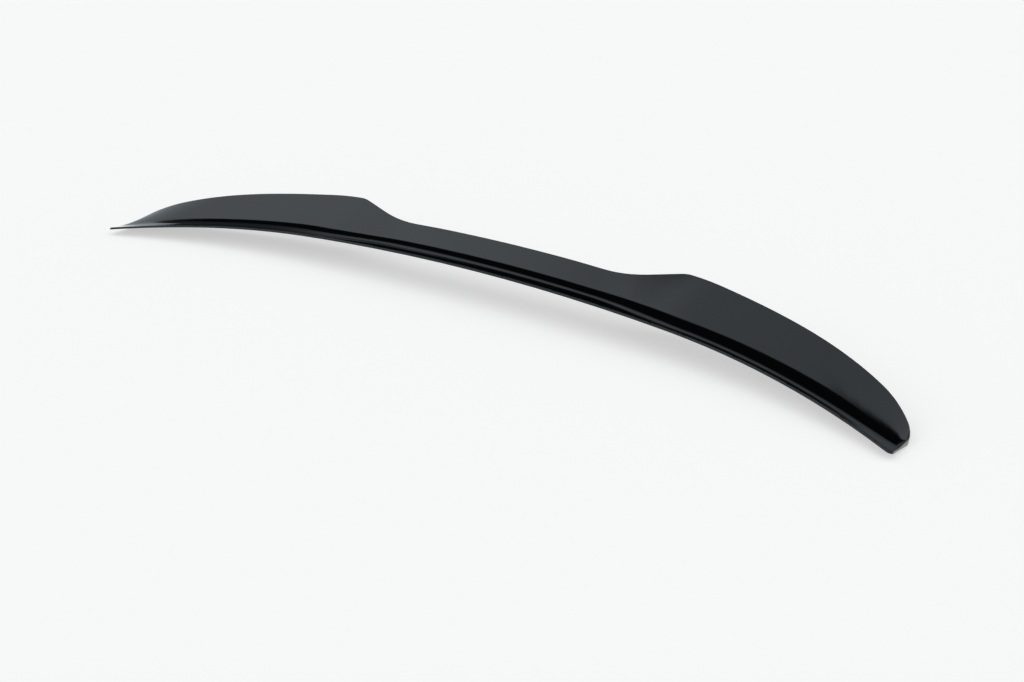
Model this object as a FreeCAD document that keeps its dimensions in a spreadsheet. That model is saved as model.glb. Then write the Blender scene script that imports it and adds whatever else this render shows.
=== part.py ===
import FreeCAD, Part
import os
from math import asin, atan2, cos, pi, radians, sin, sqrt, tan
import Sketcher
from FreeCAD import Placement, Rotation, Vector

# Boot-lid spoiler extension: one moulded shell, symmetric about the car's centre plane.
# +X runs across the car, +Y to the rear, +Z up, and the origin is the lower front edge of the
# bonding flange at mid-span. The upper skin is a loft of cross-sections that follow the lid's
# bow and crown. It is trimmed by the part's outline, drawn along a leaning direction so that the
# rear wall tucks in below the trailing edge, and then hollowed from below.

doc = FreeCAD.newDocument("spoiler_extension")

# Driving dimensions, in millimetres and degrees
sizes = {
    "half_span": "625",
    "lip_radius_mid": "4772",
    "lip_radius_side": "939",
    "crown_radius_mid": "5642",
    "crown_radius_side": "4118",
    "bend_station": "300",
    "lid_slope": "9",
    "draw_lean": "18",
    "flange_thickness": "3.2",
    "wall": "3.5",
    "centre_toe": "31",
    "wing_toe": "20",
    "centre_blend": "40",
    "wing_blend": "52",
    "blend_lead": "25",
    "blend_lag": "45",
    "rise_angle": "34",
    "fade_start": "400",
    "tip_rise": "4",
    "tip_flat": "2",
    "centre_depth": "72",
    "centre_radius": "4500",
    "ramp_foot": "190",
    "wing_corner": "269.4",
    "wing_depth": "88",
    "wing_radius": "1032",
    "wing_apex": "172",
    "shoulder_radius": "170",
    "tip_radius": "30",
    "end_length": "40",
    "front_corner_round": "5",
    "wing_corner_round": "50",
    "ramp_foot_round": "300",
    "edge_round": "2.5",
    "root_width": "12",
    "tip_solid": "25",
    "blank_front": "25",
    "blank_rear": "135",
    "blank_overrun": "3",
    "trim_height": "260",
}
sheet = doc.addObject("Spreadsheet::Sheet", "Sizes")
for row, (alias, value) in enumerate(sizes.items(), 1):
    sheet.set(f"A{row}", alias)
    sheet.set(f"B{row}", value)
    sheet.setAlias(f"B{row}", alias)
doc.recompute()


def size(alias):
    """The present value of one driving dimension."""
    return float(sheet.get(alias))


def origin_plane(body, role):
    """One of a body's own origin planes."""
    return next(feature for feature in body.Origin.OriginFeatures if feature.Role == role)


# The points of a sketch element, and the sketch's own origin and axes
START, END, CENTRE = 1, 2, 3
ORIGIN = (-1, 1)
X_AXIS = -1
Y_AXIS = -2
UP = Vector(0, 0, 1)


def fix(sketch, name, expression, kind, *picks):
    """Add a dimension to a sketch and bind its value to an expression."""
    index = sketch.addConstraint(Sketcher.Constraint(kind, *picks))
    sketch.renameConstraint(index, name)
    sketch.setExpression(f"Constraints.{name}", expression)


def relate(sketch, kind, *picks):
    """Add a constraint without a value to a sketch."""
    sketch.addConstraint(Sketcher.Constraint(kind, *picks))


def line(sketch, start, end):
    """Add a straight edge between two (x, y) points."""
    return sketch.addGeometry(Part.LineSegment(Vector(*start, 0), Vector(*end, 0)))


def arc(sketch, centre, radius, first, last):
    """Add a circular edge that turns left from one angle to another."""
    circle = Part.Circle(Vector(*centre, 0), UP, radius)
    return sketch.addGeometry(Part.ArcOfCircle(circle, first, last))


# Cross-sections: where each one stands, and how its profile changes along the span

def lip_fall(station, mid_radius, side_radius):
    """Expression for the lip's fall from mid-span, on two arcs that meet at the bend station."""
    bend = "Sizes.bend_station"
    middle = f"{mid_radius} - sqrt({mid_radius}^2 - min({station}; {bend})^2)"
    bend_sine = f"{bend} / {mid_radius}"
    sine = f"({bend_sine} + max({station} - {bend}; 0) / {side_radius})"
    return f"({middle} + {side_radius} * (sqrt(1 - ({bend_sine})^2) - sqrt(1 - {sine}^2)))"


def along_ramp(station, centre, wing):
    """Expression for a size that changes up the ramp from the centre's to the wing's."""
    foot = "(Sizes.ramp_foot - Sizes.blend_lead)"
    top = "(Sizes.wing_corner + Sizes.blend_lag)"
    share = f"min(max((({station}) - {foot}) / ({top} - {foot}); 0); 1)"
    return f"(Sizes.{centre} + (Sizes.{wing} - Sizes.{centre}) * {share}^2 * (3 - 2 * {share}))"


def skin_angle(station):
    """Expression for the angle of the rising skin, which fades out at the tips."""
    fade = "(Sizes.half_span - Sizes.tip_flat - Sizes.fade_start)"
    reach = f"max(({station}) - Sizes.fade_start; 0) / {fade}"
    return f"(max(Sizes.rise_angle * (1 - min({reach}; 1)^3)^(1/3); Sizes.tip_rise) * 1 deg)"


def section_sketch(body, name, station, side):
    """An empty sketch across the part at one station, level with the lid and based on the lip."""
    sketch = body.newObject("Sketcher::SketchObject", name)
    sketch.AttachmentSupport = (origin_plane(body, "YZ_Plane"), "")
    sketch.MapMode = "FlatFace"
    sketch.AttachmentOffset = Placement(Vector(), Rotation(UP, -size("lid_slope")))
    bow = lip_fall(station, "Sizes.lip_radius_mid", "Sizes.lip_radius_side")
    crown = lip_fall(station, "Sizes.crown_radius_mid", "Sizes.crown_radius_side")
    sketch.setExpression("AttachmentOffset.Base.x", f"-{bow} - {crown} * tan(Sizes.draw_lean * 1 deg)")
    sketch.setExpression("AttachmentOffset.Base.y", f"-{crown}")
    sketch.setExpression("AttachmentOffset.Base.z", f"{side} * ({station})")
    sketch.setExpression("AttachmentOffset.Rotation.Angle", "-Sizes.lid_slope")
    return sketch


def skin_section(body, name, station, side):
    """The outer profile: lid line, flange, concave blend and rising skin."""
    sketch = section_sketch(body, name, station, side)
    front = -size("blank_front")
    rear = size("blank_rear")
    thick = size("flange_thickness")
    blend = size("centre_blend")
    turn = radians(size("rise_angle"))
    start = size("centre_toe") - blend * tan(turn / 2)
    blend_end = (start + blend * sin(turn), thick + blend * (1 - cos(turn)))
    top = blend_end[1] + (rear - blend_end[0]) * tan(turn)
    lid = line(sketch, (front, 0), (rear, 0))
    edge = line(sketch, (front, 0), (front, thick))
    flange = line(sketch, (front, thick), (start, thick))
    hollow = arc(sketch, (start, thick + blend), blend, -pi / 2, -pi / 2 + turn)
    skin = line(sketch, blend_end, (rear, top))
    back = line(sketch, (rear, 0), (rear, top))
    relate(sketch, "Coincident", lid, START, edge, START)
    relate(sketch, "Coincident", edge, END, flange, START)
    relate(sketch, "Tangent", flange, END, hollow, START)
    relate(sketch, "Tangent", hollow, END, skin, START)
    relate(sketch, "Coincident", skin, END, back, END)
    relate(sketch, "Coincident", lid, END, back, START)
    relate(sketch, "Horizontal", lid)
    relate(sketch, "Horizontal", flange)
    relate(sketch, "Vertical", edge)
    relate(sketch, "Vertical", back)
    relate(sketch, "PointOnObject", lid, START, X_AXIS)
    angle = skin_angle(station)
    radius = along_ramp(station, "centre_blend", "wing_blend")
    toe = along_ramp(station, "centre_toe", "wing_toe")
    fix(sketch, "ahead", "Sizes.blank_front", "DistanceX", lid, START, *ORIGIN, -front)
    fix(sketch, "behind", "Sizes.blank_rear", "DistanceX", *ORIGIN, lid, END, rear)
    fix(sketch, "thickness", "Sizes.flange_thickness", "DistanceY", edge, START, edge, END, thick)
    fix(sketch, "blend", radius, "Radius", hollow, blend)
    fix(sketch, "rise", angle, "Angle", skin, turn)
    fix(sketch, "blend_start", f"{toe} - {radius} * tan({angle} / 2)",
        "DistanceX", *ORIGIN, hollow, START, start)
    return sketch


def core_section(body, name, station, side):
    """The hollow's profile: open below, its roof one wall under the skin behind the bonding land."""
    sketch = section_sketch(body, name, station, side)
    floor = -size("blank_front")
    rear = size("blank_rear")
    turn = radians(size("rise_angle"))
    land = size("centre_toe") + size("root_width")
    lift = size("flange_thickness") + size("root_width") * tan(turn) - size("wall") / cos(turn)
    top = lift + (rear - land) * tan(turn)
    mouth = line(sketch, (land, floor), (rear, floor))
    front = line(sketch, (land, floor), (land, lift))
    roof = line(sketch, (land, lift), (rear, top))
    back = line(sketch, (rear, floor), (rear, top))
    relate(sketch, "Coincident", mouth, START, front, START)
    relate(sketch, "Coincident", front, END, roof, START)
    relate(sketch, "Coincident", roof, END, back, END)
    relate(sketch, "Coincident", mouth, END, back, START)
    relate(sketch, "Horizontal", mouth)
    relate(sketch, "Vertical", front)
    relate(sketch, "Vertical", back)
    angle = skin_angle(station)
    toe = along_ramp(station, "centre_toe", "wing_toe")
    fix(sketch, "below", "Sizes.blank_front", "DistanceY", mouth, START, *ORIGIN, -floor)
    fix(sketch, "behind", "Sizes.blank_rear", "DistanceX", *ORIGIN, mouth, END, rear)
    fix(sketch, "land", f"{toe} + Sizes.root_width", "DistanceX", *ORIGIN, front, START, land)
    fix(sketch, "rise", angle, "Angle", roof, turn)
    fix(sketch, "lift",
        f"Sizes.flange_thickness + Sizes.root_width * tan({angle}) - Sizes.wall / cos({angle})",
        "DistanceY", *ORIGIN, front, END, lift)
    return sketch


# Stations from mid-span outwards: even steps over the centre and up the ramp, then shares of the wing
steps = 3
centre_stations = [f"Sizes.ramp_foot * {step} / {steps}" for step in range(steps + 1)]
ramp_length = "(Sizes.wing_corner - Sizes.ramp_foot)"
ramp_stations = [f"Sizes.ramp_foot + {ramp_length} * {step} / {steps}" for step in range(1, steps + 1)]
skin_shares = [0.1, 0.2, 0.3, 0.4, 0.5, 0.6, 0.7, 0.78, 0.85, 0.9, 0.94, 0.97, 0.985]
core_shares = [0.15, 0.3, 0.45, 0.6, 0.75, 0.9, 1]


def wing_stations(shares, end):
    """Expressions for stations between the wing's inner corner and its end."""
    return [f"Sizes.wing_corner + {share} * ({end} - Sizes.wing_corner)" for share in shares]


def lofted_body(name, section, stations):
    """A body lofted over the whole span through the same profile at every station."""
    body = doc.addObject("PartDesign::Body", name)
    left = [(station, -1) for station in reversed(stations[1:])]
    right = [(station, 1) for station in stations]
    sketches = []
    for number, (station, side) in enumerate(left + right):
        sketches.append(section(body, f"{name}_section_{number}", station, side))
    doc.recompute()
    loft = body.newObject("PartDesign::AdditiveLoft", f"{name}_loft")
    loft.Profile = sketches[0]
    loft.Sections = sketches[1:]
    doc.recompute()
    return body


skin_blank = lofted_body(
    "skin_blank", skin_section,
    centre_stations + ramp_stations + wing_stations(skin_shares, "Sizes.half_span")
    + ["Sizes.half_span + Sizes.blank_overrun"])
core_blank = lofted_body(
    "core_blank", core_section,
    centre_stations + ramp_stations + wing_stations(core_shares, "(Sizes.half_span - Sizes.tip_solid)"))


# Outline of the part, seen along the draw direction

def circles_meet(first, first_radius, second, second_radius):
    """Where two circles about (x, y) points meet, left of the way from the first to the second."""
    gap_x = second[0] - first[0]
    gap_y = second[1] - first[1]
    gap = sqrt(gap_x ** 2 + gap_y ** 2)
    along = (gap ** 2 + first_radius ** 2 - second_radius ** 2) / (2 * gap)
    aside = sqrt(max(first_radius ** 2 - along ** 2, 0))
    return (first[0] + (along * gap_x - aside * gap_y) / gap,
            first[1] + (along * gap_y + aside * gap_x) / gap)


def line_leaves(point, way, centre, radius):
    """Where a line from a point in a unit direction leaves a circle."""
    back_x = point[0] - centre[0]
    back_y = point[1] - centre[1]
    half = back_x * way[0] + back_y * way[1]
    step = sqrt(half ** 2 - back_x ** 2 - back_y ** 2 + radius ** 2) - half
    return (point[0] + step * way[0], point[1] + step * way[1])


def bearing(start, end):
    """The angle of the way from one (x, y) point to another."""
    return atan2(end[1] - start[1], end[0] - start[0])


def outline_side(sketch, lip, centre, side):
    """One half of the outline: lip, end, rounded tip, wing, ramp and the way into the centre."""
    mark = "right" if side > 0 else "left"
    first, last = (START, END) if side > 0 else (END, START)

    def place(point):
        return (side * point[0], point[1])

    def turned(middle, radius, low, high):
        if side > 0:
            return arc(sketch, middle, radius, low, high)
        return arc(sketch, place(middle), radius, pi - high, pi - low)

    def across(name, expression, point, value):
        ends = (*ORIGIN, *point) if side > 0 else (*point, *ORIGIN)
        fix(sketch, f"{name}_{mark}", expression, "DistanceX", *ends, value)

    half_span = size("half_span")
    bend = size("bend_station")
    lip_radius = size("lip_radius_side")
    corner = size("front_corner_round")
    bend_turn = asin(bend / size("lip_radius_mid"))
    bend_fall = size("lip_radius_mid") * (1 - cos(bend_turn))
    lip_middle = (bend - lip_radius * sin(bend_turn), -bend_fall - lip_radius * cos(bend_turn))
    end_turn = asin((half_span - corner - lip_middle[0]) / (lip_radius + corner))
    lip_side = turned(lip_middle, lip_radius, pi / 2 - end_turn, pi / 2 - bend_turn)

    end_start = lip_middle[1] + (lip_radius + corner) * cos(end_turn)
    end_top = end_start + size("end_length")
    front_corner = turned((half_span - corner, end_start), corner, -pi / 2 - end_turn, 0)
    end = line(sketch, place((half_span, end_start)), place((half_span, end_top)))

    tip_radius = size("tip_radius")
    shoulder_radius = size("shoulder_radius")
    wing_radius = size("wing_radius")
    tip_middle = (half_span - tip_radius, end_top)
    wing_middle = (size("wing_apex"), size("wing_depth") - wing_radius)
    shoulder_middle = circles_meet(wing_middle, wing_radius - shoulder_radius,
                                   tip_middle, shoulder_radius - tip_radius)
    tip_turn = bearing(shoulder_middle, tip_middle)
    shoulder_turn = bearing(wing_middle, shoulder_middle)
    tip = turned(tip_middle, tip_radius, 0, tip_turn)
    shoulder = turned(shoulder_middle, shoulder_radius, tip_turn, shoulder_turn)

    corner_x = size("wing_corner")
    foot_x = size("ramp_foot")
    core_middle = (0, size("centre_depth") - size("centre_radius"))
    corner_at = (corner_x, wing_middle[1] + sqrt(wing_radius ** 2 - (corner_x - wing_middle[0]) ** 2))
    foot_at = (foot_x, core_middle[1] + sqrt(size("centre_radius") ** 2 - foot_x ** 2))
    ramp_turn = bearing(foot_at, corner_at)
    up_ramp = (cos(ramp_turn), sin(ramp_turn))

    def beside(middle, distance):
        return (middle[0] - distance * up_ramp[1], middle[1] + distance * up_ramp[0])

    corner_round = size("wing_corner_round")
    foot_round = size("ramp_foot_round")
    corner_middle = line_leaves(beside(foot_at, -corner_round), up_ramp,
                                wing_middle, wing_radius - corner_round)
    foot_middle = line_leaves(beside(foot_at, foot_round), up_ramp,
                              core_middle, size("centre_radius") + foot_round)
    corner_turn = bearing(wing_middle, corner_middle)
    wing = turned(wing_middle, wing_radius, shoulder_turn, corner_turn)
    wing_corner = turned(corner_middle, corner_round, corner_turn, pi / 2 + ramp_turn)
    ramp = line(sketch, place(beside(corner_middle, corner_round)), place(beside(foot_middle, -foot_round)))
    foot = turned(foot_middle, foot_round, bearing(foot_middle, core_middle), -pi / 2 + ramp_turn)
    corner_point = sketch.addGeometry(Part.Point(Vector(*place(corner_at), 0)), True)
    foot_point = sketch.addGeometry(Part.Point(Vector(*place(foot_at), 0)), True)

    relate(sketch, "Tangent", lip, first, lip_side, last)
    relate(sketch, "Tangent", lip_side, first, front_corner, first)
    relate(sketch, "Tangent", front_corner, last, end, START)
    relate(sketch, "Tangent", end, END, tip, first)
    relate(sketch, "Tangent", tip, last, shoulder, first)
    relate(sketch, "Tangent", shoulder, last, wing, first)
    relate(sketch, "Tangent", wing, last, wing_corner, first)
    relate(sketch, "Tangent", wing_corner, last, ramp, START)
    relate(sketch, "Tangent", ramp, END, foot, last)
    relate(sketch, "Tangent", foot, first, centre, first)
    relate(sketch, "Vertical", end)
    relate(sketch, "PointOnObject", corner_point, START, wing)
    relate(sketch, "PointOnObject", corner_point, START, ramp)
    relate(sketch, "PointOnObject", foot_point, START, centre)
    relate(sketch, "PointOnObject", foot_point, START, ramp)
    across("bend", "Sizes.bend_station", (lip, first), bend)
    across("half_span", "Sizes.half_span", (end, START), half_span)
    across("wing_apex", "Sizes.wing_apex", (wing, CENTRE), wing_middle[0])
    across("wing_corner", "Sizes.wing_corner", (corner_point, START), corner_x)
    across("ramp_foot", "Sizes.ramp_foot", (foot_point, START), foot_x)
    fix(sketch, f"wing_depth_{mark}", "Sizes.wing_radius - Sizes.wing_depth",
        "DistanceY", wing, CENTRE, *ORIGIN, -wing_middle[1])
    fix(sketch, f"end_length_{mark}", "Sizes.end_length",
        "DistanceY", end, START, end, END, end_top - end_start)
    rounds = {
        "lip_radius_side": lip_side, "front_corner_round": front_corner, "tip_radius": tip,
        "shoulder_radius": shoulder, "wing_radius": wing, "wing_corner_round": wing_corner,
        "ramp_foot_round": foot,
    }
    for alias, element in rounds.items():
        fix(sketch, f"{alias}_{mark}", f"Sizes.{alias}", "Radius", element, size(alias))


outline_body = doc.addObject("PartDesign::Body", "outline_trim")
outline = outline_body.newObject("Sketcher::SketchObject", "outline")
outline.AttachmentSupport = (origin_plane(outline_body, "XY_Plane"), "")
outline.MapMode = "FlatFace"
lip_radius_mid = size("lip_radius_mid")
lip_bend = asin(size("bend_station") / lip_radius_mid)
lip_edge = arc(outline, (0, -lip_radius_mid), lip_radius_mid, pi / 2 - lip_bend, pi / 2 + lip_bend)
centre_radius = size("centre_radius")
centre_y = size("centre_depth") - centre_radius
centre_bend = asin(size("ramp_foot") / centre_radius)
centre_edge = arc(outline, (0, centre_y), centre_radius, pi / 2 - centre_bend, pi / 2 + centre_bend)
relate(outline, "PointOnObject", lip_edge, CENTRE, Y_AXIS)
relate(outline, "PointOnObject", centre_edge, CENTRE, Y_AXIS)
fix(outline, "lip_radius_mid", "Sizes.lip_radius_mid", "Radius", lip_edge, lip_radius_mid)
fix(outline, "lip_at_origin", "Sizes.lip_radius_mid",
    "DistanceY", lip_edge, CENTRE, *ORIGIN, lip_radius_mid)
fix(outline, "centre_radius", "Sizes.centre_radius", "Radius", centre_edge, centre_radius)
fix(outline, "centre_depth", "Sizes.centre_radius - Sizes.centre_depth",
    "DistanceY", centre_edge, CENTRE, *ORIGIN, -centre_y)
for hand in (1, -1):
    outline_side(outline, lip_edge, centre_edge, hand)
doc.recompute()

# The outline drawn through the blank trims it; one wall further in, it bounds the hollow
trim = outline_body.newObject("PartDesign::Pad", "trim")
trim.Profile = outline
trim.SideType = "Symmetric"
trim.UseCustomVector = True
trim.Direction = Vector(0, sin(radians(size("draw_lean"))), cos(radians(size("draw_lean"))))
trim.setExpression("Direction.y", "sin(Sizes.draw_lean * 1 deg)")
trim.setExpression("Direction.z", "cos(Sizes.draw_lean * 1 deg)")
trim.setExpression("Length", "Sizes.trim_height")

inner_outline = doc.addObject("Part::Offset2D", "inner_outline")
inner_outline.Source = outline
inner_outline.setExpression("Value", "-Sizes.wall")
inner_trim = doc.addObject("Part::Extrusion", "inner_trim")
inner_trim.Base = inner_outline
inner_trim.DirMode = "Custom"
inner_trim.Dir = trim.Direction
inner_trim.setExpression("Dir.y", "sin(Sizes.draw_lean * 1 deg)")
inner_trim.setExpression("Dir.z", "cos(Sizes.draw_lean * 1 deg)")
inner_trim.setExpression("LengthFwd", "Sizes.trim_height")
inner_trim.Symmetric = True
inner_trim.Solid = True

moulding = doc.addObject("Part::Common", "moulding")
moulding.Base = skin_blank
moulding.Tool = outline_body
core = doc.addObject("Part::Common", "core")
core.Base = core_blank
core.Tool = inner_trim
doc.recompute()


def upper_rim(shape):
    """Names of the edges where the upper skin meets the drawn walls all the way round."""
    least_facing_up = 0.5
    most_drawn_lean = 0.05
    draw = trim.Direction
    names = []
    for number, rim in enumerate(shape.Edges, 1):
        leans = []
        for face in shape.ancestorsOfType(rim, Part.Face):
            middle = face.Surface.parameter(rim.valueAt((rim.FirstParameter + rim.LastParameter) / 2))
            leans.append(face.normalAt(*middle).dot(draw))
        if max(leans) > least_facing_up and min(abs(lean) for lean in leans) < most_drawn_lean:
            names.append(f"Edge{number}")
    return names


rounded = doc.addObject("PartDesign::Body", "rounded_moulding")
rounded.BaseFeature = moulding
doc.recompute()
rim_round = rounded.newObject("PartDesign::Fillet", "rim_round")
rim_round.Base = (rounded.Group[0], upper_rim(rounded.Group[0].Shape))
rim_round.setExpression("Radius", "Sizes.edge_round")
doc.recompute()

shell = doc.addObject("Part::Cut", "spoiler_shell")
shell.Label = "spoiler_shell"
shell.Base = rounded
shell.Tool = core
doc.recompute()

for item in doc.Objects:
    if "Invalid" in item.State or "Error" in item.State:
        raise RuntimeError(f"{item.Label} failed: {item.State}")
if shell.Shape.isNull() or not shell.Shape.isValid() or len(shell.Shape.Solids) != 1:
    raise RuntimeError("spoiler_shell is not one sound solid")

os.makedirs("parts", exist_ok=True)
shell.Shape.exportStep(f"parts/{shell.Label}.step")
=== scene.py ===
from math import cos, radians, sin, sqrt, tan
import bmesh
import bpy
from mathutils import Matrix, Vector


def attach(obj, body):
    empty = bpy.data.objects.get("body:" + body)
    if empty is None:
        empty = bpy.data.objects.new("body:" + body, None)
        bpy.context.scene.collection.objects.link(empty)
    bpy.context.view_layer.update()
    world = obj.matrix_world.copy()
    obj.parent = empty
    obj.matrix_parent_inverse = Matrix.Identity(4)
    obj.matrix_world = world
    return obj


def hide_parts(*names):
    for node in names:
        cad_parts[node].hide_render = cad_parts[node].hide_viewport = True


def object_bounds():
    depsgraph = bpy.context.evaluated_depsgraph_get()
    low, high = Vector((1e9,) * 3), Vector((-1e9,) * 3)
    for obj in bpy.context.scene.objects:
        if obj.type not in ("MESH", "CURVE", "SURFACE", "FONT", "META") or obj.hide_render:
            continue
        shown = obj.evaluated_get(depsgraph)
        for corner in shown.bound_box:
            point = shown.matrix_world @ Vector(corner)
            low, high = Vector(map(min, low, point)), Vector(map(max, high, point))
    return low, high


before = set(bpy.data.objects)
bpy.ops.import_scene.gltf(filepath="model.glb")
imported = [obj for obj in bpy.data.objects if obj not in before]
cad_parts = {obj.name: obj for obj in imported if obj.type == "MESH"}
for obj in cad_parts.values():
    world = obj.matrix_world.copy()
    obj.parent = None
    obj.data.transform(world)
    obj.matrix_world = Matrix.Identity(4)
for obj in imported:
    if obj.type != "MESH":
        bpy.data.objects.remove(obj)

cad_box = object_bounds()

# Spoiler shell: the one-piece body of the spoiler, formed from ABS sheet with a polished black cap
# layer and bonded to the boot lid under its thin front flange and the foot of its rear wall.
# It keeps the form of its solid; the upper skin's shading follows the true curve of the moulding.
HALF_SPAN = 0.625
LIP_RADII = (4.772, 0.939)
CROWN_RADII = (5.642, 4.118)
BEND_STATION = 0.300
LID_SLOPE = radians(9)
DRAW_LEAN = radians(18)
FLANGE = 0.0032
TOES = (0.031, 0.020)
BLENDS = (0.040, 0.052)
RAMP = (0.165, 0.3144)
RISE = radians(34)
TIP_RISE = radians(4)
TIP_FLAT = 0.002
FADE = (0.400, HALF_SPAN - TIP_FLAT)
MERGE_DISTANCE = 1e-6
HARD_EDGE = radians(60)
SKIN_TOLERANCE = 0.0006
NUDGE = 0.0005
SKIN_END = HALF_SPAN - 2 * NUDGE


def lip_fall(station, radii):
    """How far an edge of two tangent arcs falls from mid-span."""
    sine = BEND_STATION / radii[0]
    fall = radii[0] - sqrt(radii[0] ** 2 - min(station, BEND_STATION) ** 2)
    side_sine = sine + max(station - BEND_STATION, 0) / radii[1]
    return fall + radii[1] * (sqrt(1 - sine ** 2) - sqrt(1 - side_sine ** 2))


def lip_place(x):
    """The lip's lower edge in the plane across the part, as (y, z)."""
    crown = lip_fall(abs(x), CROWN_RADII)
    return -lip_fall(abs(x), LIP_RADII) - crown * tan(DRAW_LEAN), -crown


def skin_height(x, run):
    """Height of the upper skin above the lid, at a run back from the lip."""
    share = min(max((abs(x) - RAMP[0]) / (RAMP[1] - RAMP[0]), 0), 1)
    share = share ** 2 * (3 - 2 * share)
    toe = TOES[0] + (TOES[1] - TOES[0]) * share
    blend = BLENDS[0] + (BLENDS[1] - BLENDS[0]) * share
    reach = min(max((abs(x) - FADE[0]) / (FADE[1] - FADE[0]), 0), 1)
    rise = max(RISE * (1 - reach ** 3) ** (1 / 3), TIP_RISE)
    start = toe - blend * tan(rise / 2)
    if run <= start:
        return FLANGE
    if run < start + blend * sin(rise):
        return FLANGE + blend - sqrt(blend ** 2 - (run - start) ** 2)
    return FLANGE + (run - toe) * tan(rise)


def skin_point(x, run):
    """A point of the upper skin."""
    y, z = lip_place(x)
    height = skin_height(x, run)
    return Vector((x, y + run * cos(LID_SLOPE) + height * sin(LID_SLOPE),
                   z - run * sin(LID_SLOPE) + height * cos(LID_SLOPE)))


def skin_normal(point):
    """The upper skin's outward direction at a point, or None where the point isn't on the skin."""
    x = point.x
    if abs(x) > SKIN_END:
        return None
    y, z = lip_place(x)
    run = (point.y - y) * cos(LID_SLOPE) - (point.z - z) * sin(LID_SLOPE)
    height = (point.y - y) * sin(LID_SLOPE) + (point.z - z) * cos(LID_SLOPE)
    if abs(height - skin_height(x, run)) > SKIN_TOLERANCE:
        return None
    across = skin_point(x + NUDGE, run) - skin_point(x - NUDGE, run)
    along = skin_point(x, run + NUDGE) - skin_point(x, run - NUDGE)
    return across.cross(along).normalized()


shell_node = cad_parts["spoiler_shell"]
shell_mesh = bpy.data.meshes.new("spoiler_moulding")
sheet = bmesh.new()
sheet.from_mesh(shell_node.data)
bmesh.ops.remove_doubles(sheet, verts=sheet.verts, dist=MERGE_DISTANCE)
for face in sheet.faces:
    face.smooth = True
    face.material_index = 0
sheet.to_mesh(shell_mesh)
sheet.free()
if "custom_normal" in shell_mesh.attributes:
    shell_mesh.attributes.remove(shell_mesh.attributes["custom_normal"])
shell_mesh.set_sharp_from_angle(angle=HARD_EDGE)
true_normals = [skin_normal(vertex.co) for vertex in shell_mesh.vertices]
corner_normals = [corner.vector.copy() for corner in shell_mesh.corner_normals]
for face in shell_mesh.polygons:
    for corner in face.loop_indices:
        true_normal = true_normals[shell_mesh.loops[corner].vertex_index]
        if true_normal and true_normal.dot(face.normal) > cos(HARD_EDGE):
            corner_normals[corner] = true_normal
shell_mesh.normals_split_custom_set(corner_normals)
shell = bpy.data.objects.new("spoiler_moulding", shell_mesh)
bpy.context.scene.collection.objects.link(shell)


def linear(hex_colour):
    """A linear RGBA colour from an sRGB hex value."""
    channels = [int(hex_colour[start:start + 2], 16) / 255 for start in (1, 3, 5)]
    return [c / 12.92 if c <= 0.04045 else ((c + 0.055) / 1.055) ** 2.4 for c in channels] + [1]


def add_node(tree, kind, inputs, **settings):
    """Add a node with its settings; an input is a value, or the socket that feeds it."""
    item = tree.nodes.new(kind)
    for name, value in settings.items():
        setattr(item, name, value)
    for name, value in inputs.items():
        if isinstance(value, bpy.types.NodeSocket):
            tree.links.new(value, item.inputs[name])
        else:
            item.inputs[name].default_value = value
    return item


# Gloss black ABS: the cap layer is polished by the tool, so it mirrors the room sharply, with the
# faint orange peel of formed sheet and slightly uneven gloss. Black pigment leaves almost no colour.
ABS_BLACK = "#040404"
ABS_BLACK_WORN = "#060607"
ABS_IOR = 1.5
PEEL_MM = 4.0
PEEL_HEIGHT_MM = 0.004
PEEL_DETAIL = 2.0
CLOUD_MM = 60.0
CLOUD_DETAIL = 4.0
CLOUD_BREAKUP = 0.55
CLOUD_RANGE = (0.3, 0.7)
GLOSS_ROUGHNESS = (0.05, 0.09)
MM_PER_M = 1000
MIX_FACTOR, MIX_FIRST, MIX_SECOND, MIX_RESULT = 0, 6, 7, 2

gloss_black = bpy.data.materials.new("gloss_black_abs")
gloss_black.use_nodes = True
tree = gloss_black.node_tree
tree.nodes.clear()
place = add_node(tree, "ShaderNodeTexCoord", {})
clouds = add_node(tree, "ShaderNodeTexNoise", {
    "Vector": place.outputs["Object"], "Scale": MM_PER_M / CLOUD_MM, "Detail": CLOUD_DETAIL,
    "Roughness": CLOUD_BREAKUP})
gloss = add_node(tree, "ShaderNodeMapRange", {
    "Value": clouds.outputs["Fac"], "From Min": CLOUD_RANGE[0], "From Max": CLOUD_RANGE[1],
    "To Min": GLOSS_ROUGHNESS[0], "To Max": GLOSS_ROUGHNESS[1]})
pigment = add_node(tree, "ShaderNodeMix", {
    MIX_FACTOR: clouds.outputs["Fac"], MIX_FIRST: linear(ABS_BLACK),
    MIX_SECOND: linear(ABS_BLACK_WORN)}, data_type="RGBA")
peel = add_node(tree, "ShaderNodeTexNoise", {
    "Vector": place.outputs["Object"], "Scale": MM_PER_M / PEEL_MM, "Detail": PEEL_DETAIL})
ripple = add_node(tree, "ShaderNodeBump", {
    "Height": peel.outputs["Fac"], "Strength": 1.0, "Distance": PEEL_HEIGHT_MM / MM_PER_M})
surface = add_node(tree, "ShaderNodeBsdfPrincipled", {
    "Base Color": pigment.outputs[MIX_RESULT], "Roughness": gloss.outputs["Result"], "IOR": ABS_IOR,
    "Normal": ripple.outputs["Normal"]})
add_node(tree, "ShaderNodeOutputMaterial", {"Surface": surface.outputs["BSDF"]})

shell_mesh.materials.clear()
shell_mesh.materials.append(gloss_black)
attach(shell, "root")
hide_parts("spoiler_shell")

# Table: a wide, plain, pale matt sheet that the part stands on, at the height of its lowest edge.
# It keeps the part's soft shadow, and is lifted a little towards white where the camera or the
# gloss sees it.
FLOOR_HALF = 40.0
FLOOR_COLOUR = "#dad1c9"
FLOOR_GLOW = "#ffffff"
FLOOR_LIFT = 0.50
FLOOR_MIRRORED = 0.85

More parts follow.
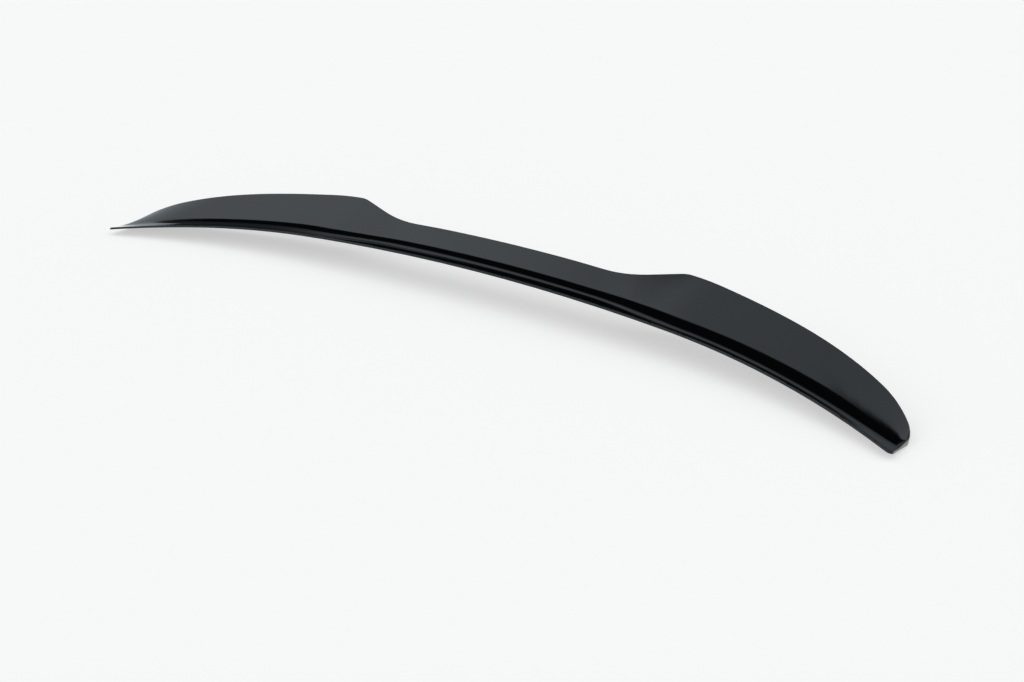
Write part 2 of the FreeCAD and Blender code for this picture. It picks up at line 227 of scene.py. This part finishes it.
floor_mesh = bpy.data.meshes.new("studio_floor")
table = bmesh.new()
bmesh.ops.create_grid(table, x_segments=1, y_segments=1, size=FLOOR_HALF)
bmesh.ops.translate(table, verts=table.verts, vec=(0, 0, cad_box[0][2]))
table.to_mesh(floor_mesh)
table.free()
floor = bpy.data.objects.new("studio_floor", floor_mesh)
bpy.context.scene.collection.objects.link(floor)
pale = bpy.data.materials.new("pale_table")
pale.use_nodes = True
tree = pale.node_tree
tree.nodes.clear()
path = add_node(tree, "ShaderNodeLightPath", {})
seen = add_node(tree, "ShaderNodeMath", {0: path.outputs["Is Camera Ray"], 1: FLOOR_LIFT},
                operation="MULTIPLY")
lift = add_node(tree, "ShaderNodeMath", {
    0: path.outputs["Is Glossy Ray"], 1: FLOOR_MIRRORED, 2: seen.outputs["Value"]},
    operation="MULTIPLY_ADD")
matt = add_node(tree, "ShaderNodeBsdfDiffuse", {"Color": linear(FLOOR_COLOUR)})
glow = add_node(tree, "ShaderNodeEmission", {
    "Color": linear(FLOOR_GLOW), "Strength": lift.outputs["Value"]})
both = add_node(tree, "ShaderNodeAddShader", {0: matt.outputs["BSDF"], 1: glow.outputs["Emission"]})
add_node(tree, "ShaderNodeOutputMaterial", {"Surface": both.outputs["Shader"]})
floor_mesh.materials.append(pale)

# Light tent: one broad soft panel overhead with a straight rear edge that turns back at both ends, a
# dark gap behind it, and a dim pale wall down to the horizon. The gloss mirrors them as long bands.
# The panel's edges are runs per unit of height, and the wall's are parts of a unit direction.
PANEL_COLOUR = "#e9f6ff"
PANEL_STRENGTH = 1.12
PANEL_REAR = (0.32, 0.39)
PANEL_RIGHT_WING = (-1.4, -0.60)
PANEL_LEFT_WING = (0.9, 0.95)
PANEL_RIGHT = (-0.75, -0.45)
PANEL_RIGHT_LEVEL = 0.74
PANEL_LEFT = (-1.15, -0.80)
PANEL_LEFT_LEVEL = 0.80
WALL_TOP = (0.44, 0.53)
WALL_STRENGTH = 0.30
WALL_LEFT = (-0.74, -0.64)
WALL_LEFT_LEVEL = 0.2
GAP_STRENGTH = 0.006
LOWEST_HEIGHT = 0.001
OPEN_BACKGROUND = "#ffffff"

world = bpy.data.worlds.new("studio_tent")
bpy.context.scene.world = world
world.use_nodes = True
tree = world.node_tree
tree.nodes.clear()
direction = add_node(tree, "ShaderNodeTexCoord", {})
aim = add_node(tree, "ShaderNodeSeparateXYZ", {"Vector": direction.outputs["Generated"]})
height = add_node(tree, "ShaderNodeMath", {0: aim.outputs["Z"], 1: LOWEST_HEIGHT},
                  operation="MAXIMUM")
rear_run = add_node(tree, "ShaderNodeMath", {0: aim.outputs["Y"], 1: height.outputs["Value"]},
                    operation="DIVIDE")
right_run = add_node(tree, "ShaderNodeMath", {0: aim.outputs["X"], 1: height.outputs["Value"]},
                     operation="DIVIDE")
edge = rear_run
for turn, shift in (PANEL_RIGHT_WING, PANEL_LEFT_WING):
    turned = add_node(tree, "ShaderNodeMath", {
        0: right_run.outputs["Value"], 1: turn, 2: rear_run.outputs["Value"]}, operation="MULTIPLY_ADD")
    wing = add_node(tree, "ShaderNodeMath", {0: turned.outputs["Value"], 1: shift}, operation="ADD")
    edge = add_node(tree, "ShaderNodeMath", {0: edge.outputs["Value"], 1: wing.outputs["Value"]},
                    operation="MINIMUM")
panel = add_node(tree, "ShaderNodeMapRange", {
    "Value": edge.outputs["Value"], "From Min": PANEL_REAR[0], "From Max": PANEL_REAR[1],
    "To Min": PANEL_STRENGTH, "To Max": GAP_STRENGTH}, interpolation_type="SMOOTHSTEP")
right_end = add_node(tree, "ShaderNodeMapRange", {
    "Value": right_run.outputs["Value"], "From Min": PANEL_RIGHT[0], "From Max": PANEL_RIGHT[1],
    "To Min": 1.0, "To Max": PANEL_RIGHT_LEVEL}, interpolation_type="SMOOTHSTEP")
left_end = add_node(tree, "ShaderNodeMapRange", {
    "Value": right_run.outputs["Value"], "From Min": PANEL_LEFT[0], "From Max": PANEL_LEFT[1],
    "To Min": PANEL_LEFT_LEVEL, "To Max": 1.0}, interpolation_type="SMOOTHSTEP")
both_ends = add_node(tree, "ShaderNodeMath", {
    0: right_end.outputs["Result"], 1: left_end.outputs["Result"]}, operation="MULTIPLY")
lit_panel = add_node(tree, "ShaderNodeMath", {
    0: panel.outputs["Result"], 1: both_ends.outputs["Value"]}, operation="MULTIPLY")
wall = add_node(tree, "ShaderNodeMapRange", {
    "Value": aim.outputs["Z"], "From Min": WALL_TOP[0], "From Max": WALL_TOP[1],
    "To Min": WALL_STRENGTH, "To Max": GAP_STRENGTH}, interpolation_type="SMOOTHSTEP")
wall_end = add_node(tree, "ShaderNodeMapRange", {
    "Value": aim.outputs["X"], "From Min": WALL_LEFT[0], "From Max": WALL_LEFT[1],
    "To Min": WALL_LEFT_LEVEL, "To Max": 1.0}, interpolation_type="SMOOTHSTEP")
lit_wall = add_node(tree, "ShaderNodeMath", {
    0: wall.outputs["Result"], 1: wall_end.outputs["Result"]}, operation="MULTIPLY")
tent_level = add_node(tree, "ShaderNodeMath", {
    0: lit_panel.outputs["Value"], 1: lit_wall.outputs["Value"]}, operation="MAXIMUM")
tent = add_node(tree, "ShaderNodeBackground", {
    "Color": linear(PANEL_COLOUR), "Strength": tent_level.outputs["Value"]})
white = add_node(tree, "ShaderNodeBackground", {"Color": linear(OPEN_BACKGROUND), "Strength": 1.0})
path = add_node(tree, "ShaderNodeLightPath", {})
view = add_node(tree, "ShaderNodeMixShader", {
    0: path.outputs["Is Camera Ray"], 1: tent.outputs["Background"], 2: white.outputs["Background"]})
add_node(tree, "ShaderNodeOutputWorld", {"Surface": view.outputs["Shader"]})

# Camera: a 50 mm lens on a 36 mm wide sensor, in front of the part's right end and above it, at the
# photograph's viewing angle.
LENS_MM = 50
SENSOR_MM = 36
CAMERA_PLACE = (1.0860, -1.3930, 0.6447)
CAMERA_AZIMUTH = radians(36.31)
CAMERA_ELEVATION = radians(22.87)

camera_data = bpy.data.cameras.new("camera")
camera_data.lens = LENS_MM
camera_data.sensor_width = SENSOR_MM
camera_data.sensor_fit = "HORIZONTAL"
camera = bpy.data.objects.new("camera", camera_data)
camera.location = CAMERA_PLACE
camera.rotation_euler = (radians(90) - CAMERA_ELEVATION, 0, CAMERA_AZIMUTH)
bpy.context.scene.collection.objects.link(camera)
bpy.context.scene.camera = camera
bpy.context.scene.view_settings.view_transform = "Standard"
